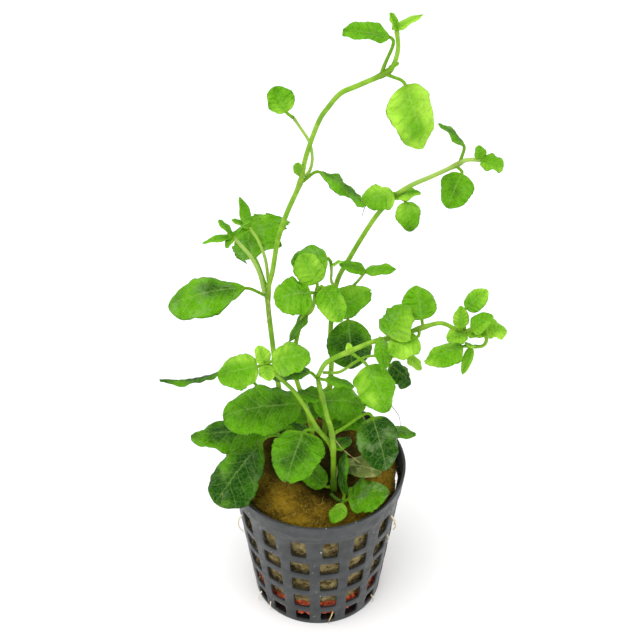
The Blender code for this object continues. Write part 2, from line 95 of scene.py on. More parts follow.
# Stems: a half thickness at each end, then the points that each passes through
STEMS = {
    "stem_a": (0.8, 0.58, [
        (-5.5, 3, 50), (-8.5, 4, 59), (-11, 5, 76), (-12.5, 6, 92), (-13.5, 7, 107.5), (-12, 7, 117),
        (-10.5, 7, 127.5), (-8, 7, 137), (-4.5, 6, 148), (-2.8, 5, 158), (0.3, 3, 170.2), (2.8, 2, 175.7),
        (5.8, 1, 180.7), (9.8, 0, 183.7), (16.5, -2, 189), (18.5, -2, 191.5), (19.5, -2, 196.5),
        (19, -2, 202)]),
    "shoot_a1_left": (0.56, 0.46, [
        (-14.4, 6.2, 109.6), (-15.5, 4, 118.5), (-17.5, 2.5, 125.5), (-20, 1, 131), (-22.2, -0.5, 135.5)]),
    "shoot_a1_right": (0.5, 0.4, [
        (-13.3, 8.8, 111.5), (-14, 10.2, 118), (-16, 12, 123.5), (-18.3, 13, 127)]),
    "shoot_a2": (0.5, 0.36, [
        (-3.2, 7.2, 149), (-1.8, 8, 151), (-1.3, 8, 155), (-2.1, 8, 160), (-4.6, 8, 165), (-6, 7.5, 168)]),
    "stem_b": (0.84, 0.5, [
        (1.5, 6, 50), (3, 9, 65), (4, 12, 79.5), (3.5, 13.5, 86), (5, 16, 103), (9, 16, 114),
        (15.5, 16, 128), (20.5, 15, 136), (24.5, 14, 140.5), (30, 13, 144.5), (36, 12, 149),
        (38.5, 11, 151.5), (42.5, 10, 152.5)]),
    "shoot_t": (0.45, 0.38, [
        (5.9, 15.6, 97.4), (7.4, 15.8, 100), (9.4, 15.6, 103), (11.4, 14.9, 106.5), (13.2, 14, 110.5)]),
    "shoot_s": (0.45, 0.38, [(4.3, 15, 104.4), (3.7, 14.2, 107), (3.8, 13, 111), (3.6, 12.5, 115)]),
    "stem_c": (0.75, 0.55, [
        (-1.5, 2, 50), (-2, 0, 66), (-4.5, -1, 78), (-6.5, -1, 88), (-6, -1, 96.5), (-4, -1, 107),
        (-1.5, -2, 111), (-0.5, -2.5, 117)]),
    "stem_d": (0.9, 0.7, [(4.5, -9, 47), (4.5, -9.5, 59), (4, -10, 71.5), (2.5, -10, 79), (0, -11, 94)]),
    "stem_g": (0.65, 0.48, [
        (0.2, -11, 95), (2.5, -12, 101), (8.5, -12, 105), (14.5, -11, 107.5), (18, -10, 107.5),
        (23, -9, 108.5), (28, -8, 110), (33, -8, 111.5), (38, -9, 109.5), (43.5, -10, 110.5),
        (44.8, -10.8, 108.4), (43.9, -11.3, 106.4), (41.2, -11, 105.8)]),
    "stem_e": (0.7, 0.5, [
        (4.2, -5.4, 50), (4.2, -6.4, 60), (2.9, -8.4, 67), (0, -12, 75.5), (-2.5, -12, 82),
        (-6, -12, 89.5), (-10, -12, 95), (-14, -12, 100.5)]),
    "shoot_k": (0.4, 0.32, [
        (1.6, -9.8, 95), (6, -8, 93.5), (10.5, -6.5, 96), (14, -5.5, 97), (20, -6, 97.5), (25, -6, 97.5)]),
    "shoot_r": (0.5, 0.4, [(3.8, -11.2, 48.4), (5.4, -13, 48.2), (7.2, -14.2, 48.4)]),
}

# Leaves: stem, place on it, stalk and blade (each heading, rise, length), width, roll, arch, fold
LEAVES = {
    "leaf_a_low_left": ("stem_a", (-13.5, 7, 107.5), (192, 34, 6.2), (188, -11, 21.5), 13, 15, 2.5, -15),
    "leaf_a_low_back": ("stem_a", (-13.5, 7, 109), (129, 56, 8.6), (90, 22, 13.4), 22, 47, 3, -20),
    "leaf_a_mid_right": ("stem_a", (-4.4, 5.9, 147.6), (356, 36, 5.3), (336, -30, 14.5), 10.5, 28, 1, 0),
    "leaf_a_mid_round": ("shoot_a2", (-6, 7.5, 168), (155, 30, 1.4), (128, 44, 7.2), 7.6, 10, -0.5, 15),
    "leaf_a_top_left": ("stem_a", (15.8, -1.8, 188.5), (54, 73, 8.9), (177, 7, 11.4), 8.4, 0, 0.5, 10),
    "leaf_a_top_right": ("stem_a", (16.5, -2, 189), (326, -10, 4.8), (302, -60, 16.5), 12.8, 0, 1, -10),
    "leaf_b_left": ("stem_b", (20.5, 15, 136), (250, 55, 1.6), (203, 2, 9), 8.4, 15, 0.5, -10),
    "leaf_b_right": ("stem_b", (20.5, 15, 136), (320, 0, 2.4), (288, -50, 8), 7, 0, 0.5, 0),
    "leaf_b_up": ("stem_b", (37, 11.6, 149.8), (72, 62, 3.7), (161, 36, 8.6), 6, -20, 0.5, 0),
    "leaf_b_down": ("stem_b", (36, 12, 149), (305, -20, 1.6), (236, -46, 9.8), 9.5, 0, 0.5, -5),
    "leaf_bl": ("stem_b", (4.1, 14.6, 93), (322, 5, 4.4), (278, -58, 14), 13, 0, 2, -15),
    "leaf_c_left": ("stem_c", (-0.5, -2.5, 117), (236, 44, 2), (196, 0, 10), 11.6, 20, 1, -10),
    "leaf_c_up": ("stem_c", (-0.5, -2.5, 117.5), (70, 66, 1.8), (126, 38, 9), 9.2, 0, 1, -10),
    "leaf_c_down": ("stem_c", (-0.5, -2.5, 117.5), (325, 56, 3.2), (316, -50, 10.5), 8.4, -10, 1, -10),
    "leaf_c_back": ("shoot_s", (3.6, 12.5, 114.7), (215, 60, 1.4), (190, 0, 10), 9.6, 20, 1, -10),
    "leaf_d_low_right": ("stem_d", (4, -10, 71.5), (20, 12, 10.8), (296, -54, 15.8), 12.2, -6, 1.5, -16),
    "leaf_d_low_side": ("stem_b", (2.2, 7.2, 56.6), (350, 0, 15.5), (348, 6, 9.5), 6, 0, 0.8, -10),
    "leaf_d_mid_left": ("stem_d", (0, -11, 93.2), (150, 24, 1.4), (161, -25, 11.8), 6.8, 0, 0.5, 0),
    "leaf_d_mid_small": ("stem_d", (0.2, -11, 92.8), (325, 20, 1.6), (357, -16, 8), 5.8, 16, 0.5, 0),
    "leaf_d_top_hang": ("stem_g", (8.5, -12, 105), (330, -26, 5), (303, -42, 13.5), 11.5, 0, 1, -10),
    "leaf_g_up": ("stem_g", (28, -8, 110), (100, 40, 1), (103, 38, 9.4), 9.8, 0, 1, -10),
    "leaf_g_near": ("stem_g", (18, -10, 107.5), (300, 60, 1.2), (46, 44, 9.8), 12.4, 12, 1, -10),
    "leaf_g_far": ("stem_g", (27, -8.2, 109.7), (256, 0, 2.4), (209, -14, 8.8), 9.2, 10, 1, -10),
    "leaf_g_hang": ("stem_g", (17, -10.3, 107.3), (262, 50, 1.6), (286, -58, 8.8), 5, 20, 0.5, 0),
    "leaf_h_up": ("stem_g", (38.8, -9.2, 109.8), (84, 79, 6.2), (20, 38, 7.6), 6, -20, 0.5, -10),
    "leaf_h_left": ("stem_g", (37.4, -8.9, 109.6), (288, 52, 2.4), (100, 80, 7), 4.4, 0, 0.5, 0),
    "leaf_h_face": ("stem_g", (41, -9.6, 110.1), (262, 46, 3.6), (12, 38, 7), 6, -12, 1, 0),
    "leaf_h_right": ("stem_g", (43.7, -10.1, 110.4), (310, 50, 0.6), (6, -8, 6), 7.4, 0, 0.5, 0),
    "leaf_h_low": ("stem_g", (41.2, -11, 105.8), (194, 14, 1.8), (194, -16, 11), 9, 0, 0.5, -10),
    "leaf_e_big": ("stem_c", (-4.4, -1, 77.8), (268, -12, 2), (188, -5, 22), 16.4, 12, 2, -10),
    "leaf_e_front": ("stem_e", (0, -12, 75.5), (210, 14, 3.4), (252, -18, 15.5), 15, 0, 1.5, -12),
    "leaf_f_left": ("stem_e", (-14, -12, 100.5), (200, -10, 1), (186, -14, 11.2), 10.5, 20, 1, -10),
    "leaf_f_right": ("stem_e", (-14, -12, 100.5), (350, 30, 1), (2, 12, 10.5), 10, -20, 1, -10),
    "leaf_w_edge": ("stem_a", (-9.5, 4.5, 66), (168, 35, 19.2), (184, -8, 18.5), 8, -42, -1, -15),
    "leaf_w_left": ("stem_a", (-7.5, 4, 56), (188, 30, 6.8), (187, 2, 21.8), 12.5, 4, 1, -15),
    "leaf_w_spoon": ("stem_c", (-1.8, 1, 59), (204, 20, 15), (225, -32, 22), 16, 0, 1, -10),
    "leaf_r_strip": ("stem_d", (4.5, -9, 48.3), (190, 20, 1.2), (148, 29, 11), 7.2, 20, 0.5, 0),
    "leaf_r_upright": ("shoot_r", (7.4, -14.2, 48.4), (60, 80, 2), (86, 72, 13.8), 6.5, 55, 0.5, 10),
    "leaf_r_right": ("shoot_r", (7.2, -14.2, 48.4), (350, 42, 1), (6, 10, 11.8), 13.6, 4, 1, -4),
    "leaf_r_bright": ("shoot_r", (7.2, -14.2, 48.4), (262, 30, 1), (246, -10, 7), 5.2, 0, 0.5, -10),
    "leaf_m_upper": ("stem_b", (3.3, 10, 69), (240, 15, 8.6), (355, 0, 15), 13.5, -4, 1, -10),
    "leaf_m_lower": ("stem_b", (2.4, 7.4, 59), (284, 42, 7.4), (347, 8, 9.6), 8.8, -8, 1, -10),
    "leaf_n_dark": ("shoot_k", (20, -6, 97.5), (245, -60, 1.8), (336, -38, 8), 8.4, 0, 1, -10),
    "leaf_withered": ("stem_d", (4.5, -9, 51), (50, 50, 4.4), (352, -8, 11.5), 8, 0, 1, 0),
}

# Small leaves grown together with their shoot tip: place, blade (heading, rise, length), width, roll
TIP_LEAVES = {
    "stem_a": [
        ((19, -2, 202), (18, 24, 7.2), 3.4, 0),
        ((19, -2, 202), (150, 66, 4.6), 3.4, 0),
        ((17.2, -2, 189.5), (10, 44, 3.6), 2.2, 0),
        ((-4.6, 5.6, 150.8), (258, 72, 6), 3.4, 0),
    ],
    "shoot_a1_left": [
        ((-22, -0.3, 135.2), (188, -10, 8.2), 2.8, 0),
        ((-22, -0.3, 135.2), (168, 54, 6.2), 3.8, 0),
        ((-22, -0.3, 135.2), (20, 40, 6.6), 3.4, 30),
        ((-22, -0.3, 135.2), (230, -36, 3.6), 2.4, 0),
    ],
    "shoot_a1_right": [
        ((-18.2, 13, 126.8), (132, 66, 9.2), 3.6, 0),
        ((-18.2, 13, 126.8), (180, 32, 5.4), 3.0, 0),
        ((-18.2, 13, 126.8), (205, -20, 6.4), 3.2, 0),
    ],
    "stem_b": [
        ((42.3, 10, 152.5), (338, -6, 6.2), 7.2, 0),
        ((42.3, 10, 152.5), (110, 56, 3.8), 3.6, 0),
        ((20.7, 14.9, 136.2), (346, 20, 7.2), 5.5, 0),
        ((4.4, 15, 95.5), (337, 43, 15), 9, -56),
    ],
    "shoot_t": [
        ((13, 14, 110.5), (190, 26, 8.0), 4.2, 20),
        ((13, 14, 110.5), (352, 10, 8.6), 4.6, 0),
    ],
    "shoot_s": [((3.8, 12.8, 113.5), (330, 40, 4.4), 3.0, 0)],
    "stem_c": [
        ((-2.6, -1.4, 109), (196, -60, 10.5), 4.2, 0),
        ((-2.2, -0.1, 66), (116, 8, 10.5), 9.6, 0),
        ((-1.8, 0.8, 60), (190, 42, 9), 8, 0),
    ],
    "stem_d": [
        ((4.6, -9.5, 65), (50, -10, 7.5), 4.6, 0),
        ((1.3, -10.4, 86), (150, -10, 8), 7, 0),
    ],
    "stem_e": [
        ((-13.8, -12, 100.3), (124, 48, 5.4), 4.8, 0),
        ((-13.8, -12, 100.3), (285, -30, 4.8), 5.0, 0),
    ],
    "stem_g": [
        ((41.4, -11, 106), (240, 40, 4.6), 3.6, 0),
        ((40.9, -11, 105.6), (232, -64, 8.2), 2.8, 30),
        ((39.6, -9.8, 109.6), (198, -4, 5.8), 6, 10),
        ((39.4, -9.6, 109.8), (358, -4, 6.4), 5, 0),
        ((8.5, -12, 105), (110, 60, 2.4), 2.0, 0),
    ],
    "shoot_k": [((24.5, -6, 97.4), (330, -36, 5.2), 4.2, 0)],
}

# How dark (0) or bright (1) each leaf's green is: old leaves dark and young ones bright, and leaves deep
# in shadow darker still as painted shade
AGE_AND_SHADE_TONES = {
    "leaf_a_low_left": 0.4, "leaf_a_low_back": 0.5, "leaf_a_mid_right": 0.35, "leaf_a_mid_round": 0.55,
    "leaf_a_top_left": 0.5, "leaf_a_top_right": 0.8, "leaf_b_left": 0.6, "leaf_b_right": 0.5,
    "leaf_b_up": 0.4, "leaf_b_down": 0.45, "leaf_bl": 0.2, "leaf_c_left": 0.55, "leaf_c_up": 0.6,
    "leaf_c_down": 0.6, "leaf_c_back": 0.45, "leaf_d_low_right": 0.12, "leaf_d_low_side": 0.25,
    "leaf_d_mid_left": 0.15, "leaf_d_mid_small": 0.45, "leaf_d_top_hang": 0.6, "leaf_g_up": 0.55,
    "leaf_g_near": 0.6, "leaf_g_far": 0.6, "leaf_g_hang": 0.45, "leaf_h_up": 0.55, "leaf_h_left": 0.65,
    "leaf_h_face": 0.55, "leaf_h_right": 0.7, "leaf_h_low": 0.7, "leaf_e_big": 0.35, "leaf_e_front": 0.35,
    "leaf_f_left": 0.65, "leaf_f_right": 0.65, "leaf_w_edge": 0.15, "leaf_w_left": 0.25,
    "leaf_w_spoon": 0.12, "leaf_r_strip": 0.3, "leaf_r_upright": 0.1, "leaf_r_right": 0.4,
    "leaf_r_bright": 0.65, "leaf_m_upper": 0.4, "leaf_m_lower": 0.45, "leaf_n_dark": 0.18,
    "leaf_withered": 0.5,
}
# The same for the small leaves of a shoot tip, where the low tips on stem_c and stem_d are kept dark as
# painted shade
TIP_AGE_AND_SHADE_TONES = {
    "stem_b": 0.55, "stem_c": 0.3, "stem_d": 0.3,
    "shoot_a1_left": 0.5, "shoot_a1_right": 0.4, "shoot_t": 0.45,
}
YOUNG_TONE = 0.7
# How much painted sheen, pale patches that stand in for reflected light, the upper side of a leaf shows
PAINTED_SHEEN = {
    "leaf_a_low_back": 0.5, "leaf_a_low_left": 0.5, "leaf_a_mid_right": 0.4, "leaf_b_up": 0.6,
    "leaf_c_back": 0.6, "leaf_d_low_right": 1.0, "leaf_d_low_side": 0.7, "leaf_d_mid_left": 0.8,
    "leaf_f_right": 0.5, "leaf_g_hang": 0.6, "leaf_g_near": 0.4, "leaf_r_right": 0.9,
    "leaf_r_upright": 0.4, "leaf_w_spoon": 0.4,
}
PLAIN_PAINTED_SHEEN = 0.12
# How pale each shoot is: 0 is the yellow green of the main stems, 1 a creamy white
PALE_SHOOTS = {
    "shoot_a1_left": 0.8, "shoot_a1_right": 0.5, "shoot_a2": 0.6, "shoot_t": 0.3, "shoot_s": 0.4,
}
# How pale the upper end of a stem is, where its lower end isn't
PALE_ENDS = {"stem_b": 0.7}

# Blade outlines. First number: below 1 the widest place is nearer the stalk, above 1 nearer the
# tip. Second number: the lower it is, the blunter both ends are.
OVATE = (0.75, 0.55)
BLADE_FORMS = {
    "leaf_a_low_back": (0.9, 0.7), "leaf_a_low_left": (1.3, 0.55),
    "leaf_a_mid_right": (0.8, 0.7), "leaf_a_mid_round": (0.85, 0.48), "leaf_a_top_left": (0.95, 0.5),
    "leaf_bl": (1.05, 0.5), "leaf_c_left": (0.8, 0.48), "leaf_d_low_right": (0.8, 0.5),
    "leaf_d_low_side": (0.65, 0.65), "leaf_d_mid_left": (1.0, 0.5),
    "leaf_e_big": (0.95, 0.42), "leaf_e_front": (0.65, 0.5),
    "leaf_f_left": (0.8, 0.46), "leaf_f_right": (0.85, 0.48), "leaf_g_near": (0.65, 0.5),
    "leaf_h_low": (0.75, 0.7), "leaf_h_right": (0.9, 0.46), "leaf_m_upper": (0.9, 0.46),
    "leaf_r_bright": (0.8, 0.65), "leaf_r_right": (0.65, 0.5), "leaf_w_spoon": (1.5, 0.55),
}

# Leaf form. The relief's heights, from EDGE_CURL to EDGE_WAVES, are shares of the blade's width.
STALK_RADIUS = 0.42
STALK_SWELL = 0.25
STALK_SINK = 0.4
TIP_LEAF_FOOT = 0.3
TIP_LEAF_ARCH = 0.3
TIP_LEAF_FOLD = 5
TIP_LEAF_CRUMPLE = 1.3
SIDE_VEINS = 6.0
VEIN_SLANT = 0.3
VEIN_CURVE = 0.35
MARGIN_TEETH = 8.0
TOOTH_DEPTH = 0.035
BLADE_HALF_THICKNESS = 0.1
RIB_DEPTH = 0.28
RIB_REACH = 0.4
EDGE_CURL = 0.05
QUILT = 0.05
MIDRIB_GROOVE = 0.03
LARGE_CRINKLES = 0.08
SMALL_CRINKLES = 0.03
EDGE_WAVES = 0.05
ROUND_TIP = 0.994

# Stem form
STEM_SIDES = 16
STEM_SWELL = 1.05
JOINT_SWELL = 0.35
JOINT_REACH = 1.3
STEM_RIDGES = 0.09
PATH_STEPS = 6

# Roots and hairs: half thickness, paleness, points
ROOTS = [
    (0.14, 0.5, [
        (-13.6, 6.6, 107.5), (-13, 5.5, 105.5), (-13.2, 4.6, 102), (-15, 4.2, 99), (-17.2, 4, 96.5)]),
    (0.11, 0.4, [(4.6, -10, 69.6), (7.1, -12, 67.3), (9.5, -13.5, 66.1), (11.9, -14.5, 64.5)]),
    (0.12, 0.0, [(20.3, -2, 75), (22.6, -3, 71.6), (23.3, -4, 67.8)]),
    (0.12, 0.0, [(12.9, 14, 134), (12.1, 12, 133.2), (11.8, 11, 132)]),
    (0.26, 1.0, [
        (-21.6, -8.8, 37), (-22.6, -9, 35.4), (-22.9, -9, 33.5), (-22.4, -9.2, 31.6),
        (-21.4, -9.4, 30.4)]),
    (0.26, 0.9, [(-16.6, -9, 3.4), (-17.4, -9.4, 2.2), (-17.6, -9.8, 0.6)]),
    (0.24, 0.9, [(-13.4, -12.2, 4), (-14, -13, 2.6), (-14, -13.6, 0.5)]),
    (0.22, 0.5, [(4.5, -18, 5.4), (4, -19, 4), (3.4, -19.2, 2.4), (3.2, -19, 0.5)]),
    (0.3, 0.7, [(20.6, -10.4, 39), (21.8, -10.6, 37), (22.4, -10.4, 34), (21.8, -10.2, 32)]),
    (0.22, 0.6, [(21, -10, 38), (22.2, -9.6, 35.4), (22, -9.2, 33)]),
    (0.22, 0.7, [(20, -10, 30), (20.6, -10, 28), (20, -9.8, 26.4)]),
    (0.22, 0.7, [(15.8, -9.6, 2.6), (16.4, -10, 1.4), (16.2, -10.6, 0.4)]),
]


def direction(heading, rise):
    """The unit vector of a heading and a rise in degrees."""
    h, r = math.radians(heading), math.radians(rise)
    return Vector((math.cos(r) * math.cos(h), math.cos(r) * math.sin(h), math.sin(r)))


def srgb(red, green, blue):
    """A colour as a picture gives it, 0 to 255, as the linear numbers that shaders take."""
    parts = [part / 255 for part in (red, green, blue)]
    return [part / 12.92 if part < 0.04 else ((part + 0.055) / 1.055) ** 2.4 for part in parts] + [1.0]


def step(low, high, value):
    """0 below low, 1 above high and a smooth rise between."""
    t = min(max((value - low) / (high - low), 0.0), 1.0)
    return t * t * (3 - 2 * t)


def finish_mesh(mesh, data):
    """Turns the faces outwards, shades them smooth and stores them."""
    bmesh.ops.recalc_face_normals(mesh, faces=mesh.faces)
    for face in mesh.faces:
        face.smooth = True
    mesh.to_mesh(data)
    mesh.free()


class Shape:
    """Collects closed bodies for one object. Each point carries four numbers for its material."""

    def __init__(self):
        self.points = []
        self.notes = []
        self.faces = []

    def tube(self, rings, notes):
        """Faces along rings that have as many points each, and a face on both ends."""
        first, count = len(self.points), len(rings[0])
        for ring, note in zip(rings, notes):
            self.points += ring
            self.notes += note if isinstance(note, list) else [note] * count
        for row in range(len(rings) - 1):
            for k in range(count):
                a, b = first + row * count + k, first + row * count + (k + 1) % count
                self.faces.append((a, b, b + count, a + count))
        self.faces.append(tuple(range(first + count - 1, first - 1, -1)))
        last = first + (len(rings) - 1) * count
        self.faces.append(tuple(range(last, last + count)))

    def object(self, name, material, slot_name, replaced=()):
        """Makes the object, in place of the source's nodes that it replaces."""
        data = bpy.data.meshes.new(name)
        data.from_pydata([point * MM for point in self.points], [], self.faces)
        looks = data.attributes.new("looks", "FLOAT_COLOR", "POINT")
        looks.data.foreach_set("color", [number for note in self.notes for number in note])
        mesh = bmesh.new()
        mesh.from_mesh(data)
        finish_mesh(mesh, data)
        item = bpy.data.objects.new(name, data)
        bpy.context.scene.collection.objects.link(item)
        data.materials.append(material)
        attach(item, "root")
        if replaced:
            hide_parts(*replaced)


def smooth_path(points, steps):
    """Points on an even curve through the given ones."""
    points = [Vector(point) for point in points]
    ends = [points[0] * 2 - points[1]] + points + [points[-1] * 2 - points[-2]]
    path = []
    for index in range(len(points) - 1):
        a, b, c, d = ends[index:index + 4]
        for number in range(steps):
            t = number / steps
            path.append((b * 2 + (c - a) * t + (a * 2 - b * 5 + c * 4 - d) * t * t
                         + (b * 3 - a - c * 3 + d) * t**3) * 0.5)
    return path + [points[-1]]


def path_frames(path):
    """Two cross directions at each point of a path, which turn as little as they can."""
    frames = []
    across = None
    for index, point in enumerate(path):
        ahead = (path[min(index + 1, len(path) - 1)] - path[max(index - 1, 0)]).normalized()
        across = (across or ahead.orthogonal()) - ahead * (across or ahead.orthogonal()).dot(ahead)
        across.normalize()
        frames.append((across, ahead.cross(across)))
    return frames


def round_tube(shape, path, radii, sides, notes, ridges=0.0):
    """A tube along a path. With ridges it is square with hollow sides, as mint stems are."""
    rings = []
    for point, radius, (across, other) in zip(path, radii, path_frames(path)):
        ring = []
        for side in range(sides):
            angle = 2 * math.pi * side / sides
            reach = radius * (1 - ridges + ridges * math.cos(4 * angle))
            ring.append(point + across * (reach * math.cos(angle))
                        + other * (reach * math.sin(angle)))
        rings.append(ring)
    shape.tube(rings, notes)


def stem_path(name):
    """The middle line of a stem."""
    return smooth_path(STEMS[name][2], PATH_STEPS)


def stem_joints(name):
    """The places on a stem where its leaves and side shoots grow."""
    places = [Vector(leaf[1]) for leaf in LEAVES.values() if leaf[0] == name]
    places += [Vector(leaf[0]) for leaf in TIP_LEAVES.get(name, [])]
    return places


def add_stem(shape, name):
    """One stem, swollen a little where leaves and shoots grow from it."""
    first, last, _ = STEMS[name]
    path = stem_path(name)
    joints = stem_joints(name)
    radii, notes = [], []
    for index, point in enumerate(path):
        share = index / (len(path) - 1)
        near = max([math.exp(-((point - place).length / JOINT_REACH) ** 2) for place in joints] + [0.0])
        radii.append((first + (last - first) * share) * (STEM_SWELL + JOINT_SWELL * near))
        pale = PALE_SHOOTS.get(name, 0.0) + PALE_ENDS.get(name, 0.0) * step(0.5, 0.8, share)
        notes.append((0.0, near, pale, 0.0))
    radii[-1] *= 0.6
    round_tube(shape, path, radii, STEM_SIDES, notes, STEM_RIDGES)


def leaf_frame(heading, rise, roll):
    """Along, side and upper-face directions of a blade."""
    along = direction(heading, rise)
    side = Vector((math.sin(math.radians(heading)), -math.cos(math.radians(heading)), 0.0))
    upper = side.cross(along)
    across, up = math.cos(math.radians(roll)), math.sin(math.radians(roll))
    return along, side * across + upper * up, upper * across - side * up


def blade_half_width(t, width, stalk, form):
    """Half the width of a blade at a share of its length, with its rounded teeth."""
    profile = width / 2 * math.sin(math.pi * t ** form[0]) ** form[1]
    teeth = 1 - TOOTH_DEPTH * (1 - abs(math.cos(math.pi * MARGIN_TEETH * t))) * step(0.1, 0.25, t)
    return math.hypot(profile * teeth, stalk * (1 - t) ** 8)


def blade_relief(u, t, width, seed, crumple):
    """How far the sheet rises: quilted between veins, grooved over the midrib, crinkled, wavy-edged."""
    reach = abs(u)
    slant = VEIN_SLANT * reach * (1 - VEIN_CURVE * reach)
    between = abs(math.sin(math.pi * SIDE_VEINS * (t - slant)))
    inside = step(0.0, 0.2, t) * (1 - step(0.85, 1.0, t))
    quilt = QUILT * width * (between**0.8 - 0.6) * reach**0.7 * (1 - reach**4) * inside
    groove = -MIDRIB_GROOVE * width * math.exp(-(reach / 0.1) ** 2) * (1 - t)
    spot = Vector((u * width * 0.5, t * width * 1.6, seed * 7.3))
    crinkle = noise.noise(spot * 0.32) * LARGE_CRINKLES * width * (0.3 + reach)
    crinkle += noise.noise(spot * 0.9) * SMALL_CRINKLES * width
    side_shift = 1.8 if u > 0 else 0
    wave = math.sin(t * 11 + seed * 2.4 + side_shift) * EDGE_WAVES * width * reach**2.5 * inside
    return quilt + groove + (crinkle * step(0.0, 0.2, t) + wave) * crumple


def crossing_shares(across):
    """Places across a blade, from -1 to 1, closer together towards its edges."""
    evenly = [k / across - 1 for k in range(2 * across + 1)]
    return [math.sin(math.pi / 2 * even) * 0.35 + even * 0.65 for even in evenly]


def stalk_rings(points, side, shares, pieces):
    """Round rings along a leaf stalk, which follows a four-point curve."""
    first, second, third, last = points
    rings = []
    for number in range(pieces):
        t = number / pieces
        s = 1 - t
        middle = first * s**3 + second * 3 * s * s * t + third * 3 * s * t * t + last * t**3
        ahead = (second - first) * s * s + (third - second) * 2 * s * t + (last - third) * t * t
        across = (side - ahead * (side.dot(ahead) / ahead.length_squared)).normalized()
        over = across.cross(ahead).normalized()
        radius = STALK_RADIUS * (1 + STALK_SWELL * (1 - step(0.0, 0.3, t)))
        ring = []
        for number_round, u in enumerate(shares + shares[-2:0:-1]):
            high = math.sqrt(max(1 - u * u, 0.0)) * (1 if number_round < len(shares) else -1)
            ring.append(middle + across * radius * u + over * radius * high)
        rings.append(ring)
    return rings


def add_leaf(shape, root, stalk, blade, width, roll, arch, fold, tone, seed, painted_sheen=PLAIN_PAINTED_SHEEN,
             form=OVATE, crumple=1.0, across=10, rows=46):
    """One leaf as a flattened tube: a round stalk, then a blade with an upper and a lower sheet.

    Each point notes its place across and along the leaf, the leaf's tone, and its side: 1 below,
    and minus its share of painted sheen above.
    """
    heading, rise, length = blade
    along, side, upper = leaf_frame(heading, rise, roll)
    shares = crossing_shares(across)
    rings, notes = [], []
    start = root
    if stalk:
        leaf_stalk = direction(stalk[0], stalk[1]) * stalk[2]
        start = root + leaf_stalk
        leaving = (along + upper * (4 * arch / length)).normalized()
        bend = [root, root + leaf_stalk * 0.5, start - leaving * stalk[2] * 0.3, start]
        rings = stalk_rings(bend, side, shares, max(4, round(stalk[2] * 1.2)))
        notes = [[(0.0, number / len(rings) - 1.0, tone, 0.0)] * len(ring)
                 for number, ring in enumerate(rings)]
    stalk_radius = STALK_RADIUS if stalk else TIP_LEAF_FOOT
    lift = math.tan(math.radians(fold))
    for number in range(rows + 1):
        t = ROUND_TIP * number / rows
        half = blade_half_width(t, width, stalk_radius, form)
        middle = start + along * length * t + upper * arch * 4 * t * (1 - t)
        flat = step(0.0, 0.16, t)
        top, under, top_notes, under_notes = [], [], [], []
        for u in shares:
            raised = abs(u) * half * lift + blade_relief(u, t, width, seed, crumple)
            raised = (raised - EDGE_CURL * width * abs(u) ** 3) * flat
            sheet = middle + side * u * half + upper * raised
            edge = math.sqrt(max(1 - u * u, 0.0))
            rib = RIB_DEPTH * math.exp(-(u * half / RIB_REACH) ** 2) * (1 - t)
            above = stalk_radius * (1 - flat) + BLADE_HALF_THICKNESS * flat
            below = above + rib * flat
            top.append(sheet + upper * above * edge)
            under.append(sheet - upper * below * edge)
            top_notes.append((u, t, tone, -painted_sheen))
            under_notes.append((u, t, tone, 1.0))
        rings.append(top + under[-2:0:-1])
        notes.append(top_notes + under_notes[-2:0:-1])
    shape.tube(rings, notes)


def make_leaves(material, withered):
    """Each large leaf as its own object, grown from the nearest point of its stem."""
    for number, (name, leaf) in enumerate(LEAVES.items()):
        stem, place, stalk, blade, width, roll, arch, fold = leaf
        root = min(stem_path(stem), key=lambda point: (point - Vector(place)).length)
        reach = stalk[2] + STEMS[stem][0] + STALK_SINK
        shape = Shape()
        add_leaf(shape, root, (stalk[0], stalk[1], reach), blade, width, roll, arch, fold,
                 AGE_AND_SHADE_TONES[name], number, PAINTED_SHEEN.get(name, PLAIN_PAINTED_SHEEN), BLADE_FORMS.get(name, OVATE))
        if name == "leaf_withered":
            shape.object("fine_" + name, withered, "withered_leaf", [name])
        else:
            shape.object("fine_" + name, material, "leaf", [name])


def make_stems(material, green_leaf):
    """Each stem and shoot, and the small leaves that grow straight from it."""
    for index, name in enumerate(STEMS):
        shape = Shape()
        add_stem(shape, name)
        shape.object("fine_" + name, material, "stem", [name])
        if name in TIP_LEAVES:
            tips = Shape()
            for number, (place, blade, width, roll) in enumerate(TIP_LEAVES[name]):
                seed = 50 + index * 5 + number
                tone = TIP_AGE_AND_SHADE_TONES.get(name, YOUNG_TONE)
                add_leaf(tips, Vector(place), None, blade, width, roll, TIP_LEAF_ARCH,
                         TIP_LEAF_FOLD, tone, seed, crumple=TIP_LEAF_CRUMPLE, across=7, rows=20)
            tips.object("tips_" + name, green_leaf, "leaf")


def pot_radius(height):
    """The outside of the pot's wall at a height."""
    radius = POT_BASE_RADIUS + (POT_RIM_RADIUS - POT_BASE_RADIUS) * height / POT_HEIGHT
    return radius + (RIM_BAND_PROUD if height > RIM_BAND_FOOT else 0.0)


def fill_radius(height):
    """The reach of the clay and the wool at a height."""
    return pot_radius(min(height, RIM_BAND_FOOT)) - POT_WALL - FILL_GAP


def pot_levels():
    """Each ring of edges: the wall's height, the width of its holes, and whether a hole is above it."""
    levels = [(0.0, HOLE_ROWS[0][2], False), (0.7, HOLE_ROWS[0][2], False)]
    for foot, head, width in HOLE_ROWS:
        for cell in range(HOLE_CELLS + 1):
            height = foot + (head - foot) * cell / HOLE_CELLS
            levels.append((height, width, cell < HOLE_CELLS))
    width = HOLE_ROWS[-1][2]
    return levels + [(height, width, False) for height in (*RIM_LEVELS, POT_HEIGHT)]


